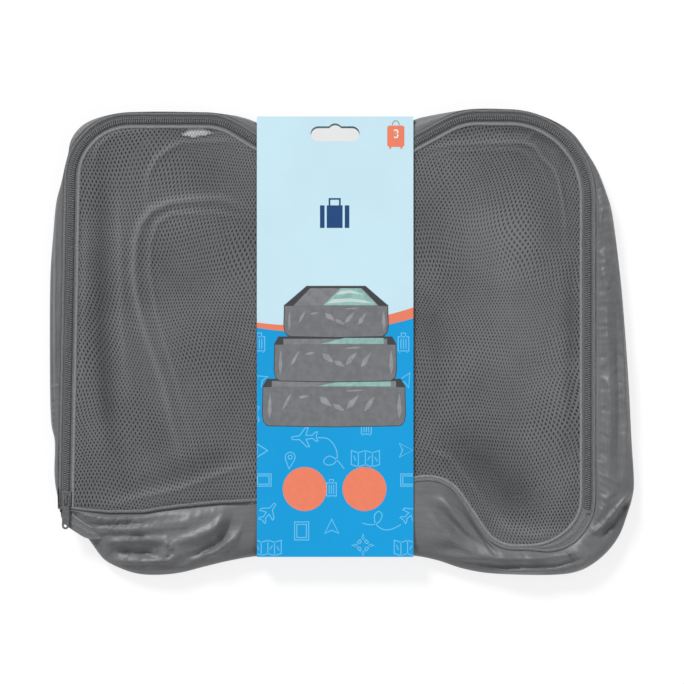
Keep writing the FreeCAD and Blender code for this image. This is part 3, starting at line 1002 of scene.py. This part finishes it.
# %% [markdown]
# The zip itself is two tapes with a coil sewn along each. A coil is one long plastic helix, but all that shows
# is a row of small round turns that lie across the tape. Each turn is a short rod with eight sides, and the
# turns of one side sit between those of the other, which is what locks a zip.
# %% Zips
turn_gap = 1.45 * MM
side_strip = 40 * MM


def zip_shares(size):
    """The part of a seam line that has a zip: the left, front and right sides, down to the ends of the tails."""
    line = zip_lines[size]
    low_x = min(p.x for p in line.points) + side_strip
    high_x = max(p.x for p in line.points) - side_strip
    hinge = hinge_place[size]
    tail = tail_place[size]
    return line.share_where(lambda p: p.y > tail and (p.y > hinge or not low_x < p.x < high_x))


def lid_shares(size):
    """The part of a zip that lies on the moving side of the hinge line."""
    line = zip_lines[size]
    low_x = min(p.x for p in line.points) + side_strip
    high_x = max(p.x for p in line.points) - side_strip
    hinge = hinge_place[size]
    return line.share_where(lambda p: p.y > hinge or (p.y > hinge - 60 * MM and low_x < p.x < high_x and p.y > 0))


def coil_turns(name, size, shares, side, body, node_names):
    """A row of coil turns on one side of the zip's centre line."""
    line = zip_lines[size]
    length = line.length * (shares[1] - shares[0])
    count = int(length / turn_gap)
    shape = bmesh.new()
    height = zip_height[size]
    for i in range(count):
        share = shares[0] + (shares[1] - shares[0]) * (i + (0.25 if side > 0 else 0.75)) / count
        near = line.at(share, side * -0.2 * MM)
        far = line.at(share, side * coil_out)
        middle = Vector((*((near + far) / 2), height + 0.1 * MM))
        across = Vector((*(far - near), 0))
        matrix = across.to_track_quat("Z", "Y").to_matrix().to_4x4()
        matrix.translation = middle
        rod = bmesh.ops.create_cone(shape, cap_ends=True, segments=8, radius1=0.66 * MM, radius2=0.66 * MM,
                                    depth=across.length, matrix=matrix)
        for vert in rod["verts"]:
            vert.co.z = height + 0.1 * MM + (vert.co.z - height - 0.1 * MM) * (1.5 if size == "large" else 0.9)
    piece = keep(name, shape, coil_nylon, body)
    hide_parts(*node_names)
    return count


def zip_strip(name, size, shares, side, body, node_names):
    """The tape under one row of turns."""
    line = zip_lines[size]
    length = line.length * (shares[1] - shares[0])
    level = zip_height[size]

    def surface(along, across):
        share = shares[0] + (shares[1] - shares[0]) * along
        away = side * (0.15 * MM + (tape_out + 0.5 * MM) * across)
        return Vector((*line.at(share, away), level - 0.35 * MM * (1 - across) + 0.25 * MM * across))

    piece = lay_cloth(name, int(length / (2 * MM)), 4, surface, (length, tape_out), zip_tape, body)
    if node_names:
        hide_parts(*node_names)


for size in zip_lines:
    whole = zip_shares(size)
    moving = lid_shares(size)
    turns = coil_turns(size + "_wall_turns", size, whole, 1, "stack", [size + "_zip_coil_wall"])
    coil_turns(size + "_lid_turns", size, moving, -1, size + "_lid", [size + "_zip_coil_lid"])
    zip_strip(size + "_wall_tape", size, whole, 1, "stack", [size + "_zip_tape_wall"])
    zip_strip(size + "_lid_tape", size, moving, -1, size + "_lid", [size + "_zip_tape_lid"])
    coil_turns(size + "_right_tail_turns", size, (whole[0], moving[0]), -1, "stack", [size + "_zip_tails"])
    coil_turns(size + "_left_tail_turns", size, (moving[1], whole[1]), -1, "stack", [])
    zip_strip(size + "_right_tail_tape", size, (whole[0], moving[0]), -1, "stack", [])
    zip_strip(size + "_left_tail_tape", size, (moving[1], whole[1]), -1, "stack", [])
    hinge_side = (whole[1], whole[0] + 1)
    hinge_length = zip_lines[size].length * (hinge_side[1] - hinge_side[0])

    def cover(along, across, size=size, hinge_side=hinge_side):
        share = hinge_side[0] + (hinge_side[1] - hinge_side[0]) * along
        narrow = 1 - 0.7 * closed_up(size, zip_lines[size].at(share))
        away = tape_out * (2.1 * across - 1.05) * narrow
        ridge = 0.5 * math.exp(-((away / MM / 0.8) ** 2)) - 0.6
        spot = zip_lines[size].at(share, away)
        return Vector((*spot, zip_height[size] + (0.6 + ridge) * MM))

    tape = lay_cloth(size + "_hinge_tape", int(hinge_length / (2 * MM)), 10, cover,
                     (hinge_length, 2.1 * tape_out), seam_tape, "stack")
    print(size, "zip:", turns, "turns a side")


# %% [markdown]
# The pieces that the construction model already shapes well enough, such as the piping round the bottoms, the
# sliders and their pull tabs, and the zip stops, keep their shape and only get a finish.
# %% Finishes for the construction pieces
dressing = {
    "base_piping": (seam_tape, "seam_tape"),
    "zip_stops": (coil_nylon, "zip_coil"), "slider": (slider_paint, "slider_metal"),
    "puller": (slider_paint, "slider_metal"),
}
for size in zip_lines:
    for part, (material, slot_name) in dressing.items():
        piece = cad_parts[f"{size}_{part}"]
        piece.data.materials.clear()
        piece.data.materials.append(material)
print("construction pieces dressed:", len(dressing) * len(zip_lines))

# %% [markdown]
# A small white care label is caught in the seam at the upper left and shows through the net as a pale patch. It
# is folded at a slant, so from above it is a flat four-sided shape with a soft bend.
# %% Care label
label_low, label_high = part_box("large_care_label")


def label_surface(along, across):
    """A four-sided patch between its corners, bent upwards along the middle."""
    corners = [Vector(c) * MM for c in label_corners]
    low = corners[0].lerp(corners[1], along)
    high = corners[3].lerp(corners[2], along)
    bend = 0.5 * MM * math.sin(math.pi * along)
    return Vector((*low.lerp(high, across), zip_height["large"] - 1.3 * MM + bend))


label = lay_cloth("large_care_label_cloth", 12, 12, label_surface, (24 * MM, 8 * MM), label_cloth, "stack")
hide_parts("large_care_label")
print("care label laid")


# %% [markdown]
# The sleeve is printed card, which the construction model already has at its true size. Only its ink is missing.
# The ground of the print is simple enough for the material itself: pale blue above, strong blue below and an
# orange stripe along their curved border. The finish reads the card's own coordinates, so nothing can slide.
# %% Printed card
ink_blue = (2, 165, 232)
ink_pale = (210, 243, 255)
ink_orange = (248, 136, 104)


def printed_card():
    material, tree, shader = finish("printed_card", Coat_Roughness=0.25, Specular_IOR_Level=0.3)
    x, y, spot = place(tree, False)
    border = 9.66 + x * 0.1008 + x * x * 0.00225
    above = y - border
    thickness = 2.7 + x * 0.018
    blue_or_orange = (above + thickness).ramp(-0.12, 0.12)
    pale = (above - thickness).ramp(-0.12, 0.12)
    fibre = cloud(tree, spot, 1.4, 5.0)
    broad = cloud(tree, spot, 0.02, 2.0)
    ground = blend_colours(tree, blue_or_orange, colour(*ink_blue), colour(*ink_orange))
    ground = blend_colours(tree, pale, ground, colour(*ink_pale))
    shade = blend_colours(tree, broad.ramp(0.3, 0.7), (0.965, 0.965, 0.965, 1), (1, 1, 1, 1))
    settings = {"data_type": "RGBA", "blend_type": "MULTIPLY"}
    ground = node(tree, "ShaderNodeMix", settings, {0: 1.0, 6: ground, 7: shade}, output=2)
    feed(tree, shader, Base_Color=ground, Roughness=0.42 + fibre * 0.12, Coat_Weight=broad * 0.1)
    feed(tree, shader, Normal=bump(tree, fibre, 0.08, 0.05))
    return material


card_finish = printed_card()
for panel in ("sleeve_front_panel", "sleeve_back_panel", "sleeve_bottom_spine", "sleeve_top_flap"):
    panel_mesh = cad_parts[panel].data
    panel_mesh.materials.clear()
    panel_mesh.materials.append(card_finish)
print("card printed with", ink_blue, ink_pale, ink_orange)

# %% [markdown]
# The line drawings and badges would take hundreds of nodes in a material, so they are cut from film instead, the
# way transfers are made: flat shapes a few hundredths of a millimetre thick, lying on the card. A `Transfer`
# collects every shape of one ink, as patches and as strokes of even width, and becomes a single piece.
# %% Transfers
film_step = 0.02 * MM


def ink(name, rgb, mottle=0.02):
    """A printing ink with a slight unevenness."""
    material, tree, shader = finish(name, Specular_IOR_Level=0.3)
    spot = place(tree, False)[2]
    uneven = cloud(tree, spot, 0.25, 4.0)
    light = [min(1.0, c * (1 + mottle)) for c in colour(*rgb)]
    dark = [c * (1 - mottle) for c in colour(*rgb)]
    feed(tree, shader, Base_Color=blend_colours(tree, uneven.ramp(0.35, 0.65), dark, light))
    feed(tree, shader, Roughness=0.42 + uneven * 0.1)
    return material


class Transfer:
    """Flat printed shapes of one ink, in millimetres, a number of films above the card."""

    def __init__(self, name, material, film):
        self.name = name
        self.material = material
        self.level = sleeve_high[2] + film * film_step
        self.shape = bmesh.new()
        self.shape.loops.layers.uv.verify()

    def patch(self, points, films=0):
        """A filled outline, cut off at the edges of the card, and lifted by some films where patches overlap."""
        level = self.level + films * film_step
        verts = [self.shape.verts.new((*self.on_card(p), level)) for p in points]
        made = bmesh.ops.contextual_create(self.shape, geom=verts)["faces"]
        for face in made:
            if face.normal.z < 0:
                face.normal_flip()

    def stroke(self, points, width):
        """A line of even width with square corners."""
        grid = bmesh.ops.create_grid(self.shape, x_segments=len(points) - 1, y_segments=1, size=0.5)["verts"]
        closed = (Vector(points[0]) - Vector(points[-1])).length < 0.01
        for vert in grid:
            i = round((vert.co.x + 0.5) * (len(points) - 1))
            here = Vector(points[i])
            before = Vector(points[i - 1 if i else (-2 if closed else 0)])
            after = Vector(points[(i + 1) if i < len(points) - 1 else (1 if closed else i)])
            into = (here - before).normalized()
            onto = (after - here).normalized()
            if into.length == 0:
                into = onto
            if onto.length == 0:
                onto = into
            side = Vector((-(into + onto).y, (into + onto).x))
            side = side.normalized() if side.length > 0.1 else Vector((-into.y, into.x))
            square = Vector((-into.y, into.x))
            mitre = side / max(0.5, side.dot(square))
            vert.co = (*self.on_card(here + mitre * width * vert.co.y), self.level)

    def ring(self, centre, radius, width, first=0, last=360, flat=1.0):
        self.stroke(arc(centre, radius, first, last, flat), width)

    def disc(self, centre, radius):
        self.patch(arc(centre, radius, 0, 360)[:-1])

    @staticmethod
    def on_card(point):
        """A point in metres, kept within the card."""
        inset = 0.15 * MM
        x = min(sleeve_high[0] - inset, max(sleeve_low[0] + inset, point[0] * MM))
        y = min(sleeve_high[1] - inset, max(sleeve_low[1] + inset, point[1] * MM))
        return x, y

    def lay(self):
        flat = [f for f in self.shape.faces if f.calc_area() < 1e-11]
        bmesh.ops.delete(self.shape, geom=flat, context="FACES")
        for face in self.shape.faces:
            if face.normal.z < 0:
                face.normal_flip()
        piece = keep(self.name, self.shape, self.material, "sleeve_front", smooth=False)
        return piece


def arc(centre, radius, first, last, flat=1.0):
    """Points along part of a circle, or of an ellipse where flat is not 1."""
    count = max(3, int(abs(last - first) / 12))
    angles = [math.radians(first + (last - first) * i / count) for i in range(count + 1)]
    return [(centre[0] + radius * math.cos(a), centre[1] + radius * math.sin(a) * flat) for a in angles]


# %% [markdown]
# The pattern is made of a few travel pictograms drawn in thin line: a case, an airliner, a folded map, a place
# pin, a pointer, a picture frame and a compass star. Each is drawn once round its own centre, then stamped at
# many places, turned and scaled.
# %% Travel pictograms
def mirrored(half):
    """A closed outline from its upper half, mirrored in the x axis."""
    return half + [(x, -y) for x, y in reversed(half)] + half[:1]


pictograms = {
    "case": [
        [(-3.2, -4.2), (3.2, -4.2), (3.2, 4.2), (-3.2, 4.2), (-3.2, -4.2)],
        [(-1.3, 4.2), (-1.3, 6.4), (1.3, 6.4), (1.3, 4.2)],
        [(-1.5, -3.0), (-1.5, 3.0)], [(0, -3.0), (0, 3.0)], [(1.5, -3.0), (1.5, 3.0)],
        [(-2.2, -4.2), (-2.2, -5.3)], [(2.2, -4.2), (2.2, -5.3)],
    ],
    "airliner": [mirrored([
        (9.0, 0.0), (7.6, 1.0), (3.4, 1.2), (-1.0, 6.2), (-2.8, 6.2), (-0.9, 1.3), (-5.2, 1.0), (-7.2, 3.0),
        (-8.6, 3.0), (-7.6, 0.0),
    ])],
    "map": [
        [(-9.2, -4.0), (-9.2, 5.2), (-4.6, 3.8), (0, 5.2), (4.6, 3.8), (9.2, 5.2), (9.2, -4.0), (4.6, -5.4),
         (0, -4.0), (-4.6, -5.4), (-9.2, -4.0)],
        [(-4.6, -5.4), (-4.6, 3.8)], [(0, -4.0), (0, 5.2)], [(4.6, -5.4), (4.6, 3.8)],
        [(-7.6, 2.0), (-6.4, -1.5)], [(1.4, -1.2), (3.2, 1.6)], [(6.2, 1.0), (7.8, -2.0)],
    ],
    "pin": [
        [(0, -6.0), (-3.1, 0.6)] + arc((0, 2.2), 3.4, 205, -25) + [(3.1, 0.6), (0, -6.0)],
        arc((0, 2.2), 1.4, 0, 360),
    ],
    "pointer": [[(5.4, 0), (-4.4, 4.8), (-2.2, 0), (-4.4, -4.8), (5.4, 0)]],
    "frame": [
        [(-4.7, -6.0), (4.7, -6.0), (4.7, 6.0), (-4.7, 6.0), (-4.7, -6.0)],
        [(-3.2, -4.4), (3.2, -4.4), (3.2, 4.4), (-3.2, 4.4), (-3.2, -4.4)],
    ],
    "star": [
        [(math.cos(math.radians(a)) * r, math.sin(math.radians(a)) * r)
         for a, r in zip(range(90, 451, 45), (8.0, 2.4) * 4 + (8.0,))],
        arc((0, 0), 4.4, 0, 360),
    ],
}
stamps = [
    ("case", -54.6, -1.2, 0, 1.1), ("case", 39.7, -1.2, 0, 1.1), ("pointer", -54.4, -24.4, 150, 0.85),
    ("pointer", 41.4, -24.4, 60, 0.9), ("airliner", -58.5, -48.0, 60, 0.8), ("airliner", -25.0, -62.4, 184, 1.0),
    ("case", 15.4, -56.0, 0, 1.0), ("pin", -34.6, -77.4, -6, 0.95), ("map", 14.8, -76.2, 0, 1.0),
    ("pointer", -54.0, -71.0, 0, 0.9), ("pointer", 41.2, -70.8, 0, 0.95), ("frame", -52.0, -90.3, 90, 0.85),
    ("frame", 43.0, -90.3, 90, 0.85), ("case", -7.4, -96.4, 0, 1.0), ("airliner", -48.6, -111.4, 52, 0.85),
    ("airliner", 44.6, -112.0, 42, 0.85), ("frame", -26.9, -123.6, 0, 0.98), ("pointer", -7.2, -121.0, 90, 0.95),
    ("map", -49.0, -134.6, 0, 0.95), ("map", 42.4, -134.6, 0, 0.95), ("star", 13.2, -133.0, 0, 0.92),
    ("case", -52.8, -157.0, 0, 0.1),
]
trails = [
    [(-16.4, -62.6), (-10.5, -63.0), (-6.4, -66.4), (-3.8, -72.0), (-4.2, -77.6), (-7.4, -80.4), (-11.6, -79.8),
     (-12.2, -77.0), (-8.6, -74.6), (-3.6, -77.4), (1.0, -83.0)],
    [(12.8, -118.4), (18.2, -119.6), (23.4, -118.0), (25.8, -113.4), (23.6, -110.8), (20.8, -113.4),
     (21.6, -119.0), (26.4, -122.6), (32.0, -122.4), (38.0, -119.4)],
    [(33.0, -46.0), (36.4, -50.4), (37.6, -55.4)],
]
line_width = 0.62
pale_lines = Transfer("sleeve_line_drawings", ink("line_ink", (112, 204, 250)), 1)
for kind, x, y, turn, scale in stamps[:-1]:
    cos = math.cos(math.radians(turn)) * scale
    sin = math.sin(math.radians(turn)) * scale
    for line in pictograms[kind]:
        pale_lines.stroke([(x + px * cos - py * sin, y + px * sin + py * cos) for px, py in line], line_width)
for trail in trails:
    smooth_trail = []
    ends = [trail[0]] + trail + [trail[-1]]
    for before, here, after, beyond in zip(ends, ends[1:], ends[2:], ends[3:]):
        for k in range(4):
            t = k / 4
            smooth_trail.append(tuple(
                0.5 * (2 * b + (c - a) * t + (2 * a - 5 * b + 4 * c - d) * t * t + (3 * b - a - 3 * c + d) * t ** 3)
                for a, b, c, d in zip(before, here, after, beyond)))
    pale_lines.stroke(smooth_trail + [trail[-1]], line_width)
pale_lines.lay()
print("pictograms stamped", len(stamps) - 1)

# %% [markdown]
# Over the pattern lie two round orange badges, left blank, and a small orange case with the number of cubes in
# it. Higher up, a dark blue case stands where a maker's mark would go.
# %% Badges
badge_x = 34.7
badge_y = 134.6
orange = Transfer("sleeve_orange_badges", ink("orange_ink", ink_orange), 2)
for centre in ((-24.9, -96.2), (14.2, -96.2)):
    orange.disc(centre, 14.4)
orange.patch([(badge_x + x, badge_y + y) for x, y in (
    (-4.6, -7.0), (4.6, -7.0), (5.6, -6.0), (5.6, 6.0), (4.6, 7.0), (-4.6, 7.0), (-5.6, 6.0), (-5.6, -6.0))])
for side in (-1, 1):
    orange.stroke([(badge_x + side * 3.6, badge_y - 7.0), (badge_x + side * 3.6, badge_y - 8.2)], 1.2)
orange.lay()

white = Transfer("sleeve_white_number", ink("white_ink", (250, 246, 240)), 3)
bowl = 1.25
upper_bowl = arc((badge_x, badge_y + 1.6 + bowl), bowl, 150, -90)
lower_bowl = arc((badge_x, badge_y + 1.6 - bowl), bowl, 90, -150)
white.stroke(upper_bowl + lower_bowl[1:], 0.95)
white.lay()

navy = Transfer("sleeve_navy_case", ink("navy_ink", (31, 74, 128)), 2)
case_x = -5.3
case_y = 82.0
navy.stroke([(case_x - 3.4, case_y + 7.4), (case_x - 3.4, case_y + 11.6), (case_x + 3.4, case_y + 11.6),
             (case_x + 3.4, case_y + 7.4)], 1.1)
for left, right in ((-9.6, -6.6), (-5.2, 5.2), (6.6, 9.6)):
    navy.patch([(case_x + left, case_y - 7.4), (case_x + right, case_y - 7.4), (case_x + right, case_y + 7.4),
                (case_x + left, case_y + 7.4)])
navy.lay()
handle = Transfer("sleeve_badge_handle", ink("grey_ink", (150, 160, 168)), 2)
handle.ring((badge_x, badge_y + 7.3), 2.2, 0.6, 0, 180, flat=1.3)
handle.lay()
print("badges laid")

# %% [markdown]
# The picture on the card shows the same three cubes, filled and stacked. Each is a box seen from slightly above:
# a front with rounded lower corners, a lighter top that narrows with distance, folded clothes behind the net on
# the right half, dark zip tape at the corners, and a few bright creases in the front.
# %% Picture of the stacked cubes
cube_pictures = [
    (-5.8, -7.0, -54.6, 46.6, -29.2, 4.6, 0.97, 0.25), (-4.9, 0.0, -25.2, 39.8, -1.4, 4.4, 0.97, 0.26),
    (-4.4, 0.0, 3.9, 33.9, 23.9, 12.2, 0.61, 0.18),
]
front_ink = ink("picture_front_ink", (122, 123, 126), 0.07)
top_ink = ink("picture_top_ink", (132, 134, 137), 0.08)
dark_ink = ink("picture_dark_ink", (70, 71, 74))
bright_ink = ink("picture_bright_ink", (152, 154, 157), 0.1)
clothes_ink = ink("picture_clothes_ink", (150, 192, 187), 0.1)
pale_clothes_ink = ink("picture_pale_clothes_ink", (205, 224, 220))
rims = Transfer("picture_rims", dark_ink, 2)
back_rims = Transfer("picture_back_rims", dark_ink, 1.5)
fronts = Transfer("picture_fronts", front_ink, 3)
tops = Transfer("picture_tops", top_ink, 3)
clothes = Transfer("picture_clothes", clothes_ink, 4)
pale_clothes = Transfer("picture_pale_clothes", pale_clothes_ink, 5)
creases = Transfer("picture_creases", bright_ink, 4)
tapes = Transfer("picture_tapes", dark_ink, 5)
for tier, (middle, _, low, half, rim_y, depth, narrow, _) in enumerate(cube_pictures):
    films = tier * 4
    def box(points, grow=0.0):
        return [(middle + x + (grow if x > 0 else -grow), y + g * grow) for x, y, g in points]
    bulge = 0.7
    front = [(-half + 3.4, low, -1), (0, low - bulge, -1), (half - 3.4, low, -1), (half - 0.8, low + 2.4, 0),
             (half, low + 7.0, 0), (half - 0.4, rim_y, 1), (-half + 0.4, rim_y, 1), (-half, low + 7.0, 0),
             (-half + 0.8, low + 2.4, 0)]
    back_half = half * narrow - 2.0
    top = [(-half + 0.4, rim_y, 0), (half - 0.4, rim_y, 0), (back_half, rim_y + depth, 1),
           (-back_half, rim_y + depth, 1)]
    rims.patch(box(front, 0.5), films)
    back_rims.patch(box(top, 0.6), films)
    fronts.patch(box(front), films)
    tops.patch([(x, y - (0.4 if i > 1 else 0)) for i, (x, y) in enumerate(box(top, -0.5))], films)
    lay = depth * 0.92
    left = middle - half * 0.24
    right = middle + half * 0.8
    back_right = middle + back_half * 0.86
    back_left = middle + back_half * 0.16
    clothes.patch([(left, rim_y + 0.2), (right, rim_y + 0.2), (back_right, rim_y + lay), (back_left, rim_y + lay)],
                  films)
    if depth > 5:
        for low_share, high_share in ((0.12, 0.36), (0.62, 0.84)):
            band = [(low_share, left, right), (low_share + 0.08, (left + right) / 2, None), (low_share, right, None)]
            start = left + (back_left - left) * low_share
            stop = right + (back_right - right) * low_share
            start_up = left + (back_left - left) * high_share
            stop_up = right + (back_right - right) * high_share
            pale_clothes.patch([
                (start + 1, rim_y + lay * low_share), ((start + stop) / 2, rim_y + lay * (low_share + 0.1)),
                (stop - 2, rim_y + lay * low_share), (stop_up - 4, rim_y + lay * (high_share - 0.06)),
                ((start_up + stop_up) / 2, rim_y + lay * (high_share + 0.06)),
                (start_up + 2, rim_y + lay * high_share)], films)
    for side in (-1, 1):
        corner = middle + side * (half - 0.4)
        inner = middle + side * back_half
        tapes.patch([(corner, rim_y - 0.4), (corner - side * 5.5, rim_y - 0.2), (inner - side * 2.6, rim_y + depth),
                     (inner + side * 0.2, rim_y + depth)], films)
    tall = rim_y - low
    for x, y, turn, long, wide in (
            (-0.12, 0.62, -40, 0.26, 0.17), (0.07, 0.46, -30, 0.22, 0.14), (0.26, 0.6, 48, 0.3, 0.15),
            (0.5, 0.56, 55, 0.3, 0.14), (-0.42, 0.74, 8, 0.18, 0.08), (-0.66, 0.62, 60, 0.3, 0.09),
            (0.3, 0.9, 3, 0.34, 0.05), (-0.9, 0.5, 88, 0.42, 0.1), (0.92, 0.5, 90, 0.42, 0.12)):
        cx = middle + x * half
        cy = low + y * tall
        run = long * tall * 1.6
        cos = math.cos(math.radians(turn))
        sin = math.sin(math.radians(turn))
        blade = [(-0.5, 0), (-0.1, 0.5), (0.25, 0.32), (0.5, 0), (0.2, -0.3), (-0.2, -0.5)]
        creases.patch([(cx + px * run * cos - py * wide * tall * sin, cy + px * run * sin + py * wide * tall * cos)
                       for px, py in blade], films)
for transfer in (rims, back_rims, fronts, tops, clothes, pale_clothes, creases, tapes):
    transfer.lay()
print("picture laid")


floor_material, floor_tree, floor_shader = finish("studio_paper", Roughness=0.9, Specular_IOR_Level=0.1)
floor_shader.inputs["Base Color"].default_value = (0.28, 0.28, 0.28, 1)
bpy.ops.mesh.primitive_plane_add(size=6)
floor = bpy.context.object
floor.name = "studio_floor"
floor.location.z = -0.3 * MM
floor.data.materials.append(floor_material)
rays = node(floor_tree, "ShaderNodeLightPath").socket.node.outputs
seen = Wire(floor_tree, rays["Is Camera Ray"])
for kind in ("Is Glossy Ray", "Is Transmission Ray"):
    seen = seen + Wire(floor_tree, rays[kind])
paper_white = (0.77, 0.77, 0.77, 1)
floor_shader.inputs["Emission Strength"].default_value = 1.0
feed(floor_tree, floor_shader, Emission_Color=blend_colours(floor_tree, seen.least(1.0), (0, 0, 0, 1), paper_white))
below = node(floor_tree, "ShaderNodeNewGeometry", output=6)
feed(floor_tree, floor_shader, Alpha=1 - below)
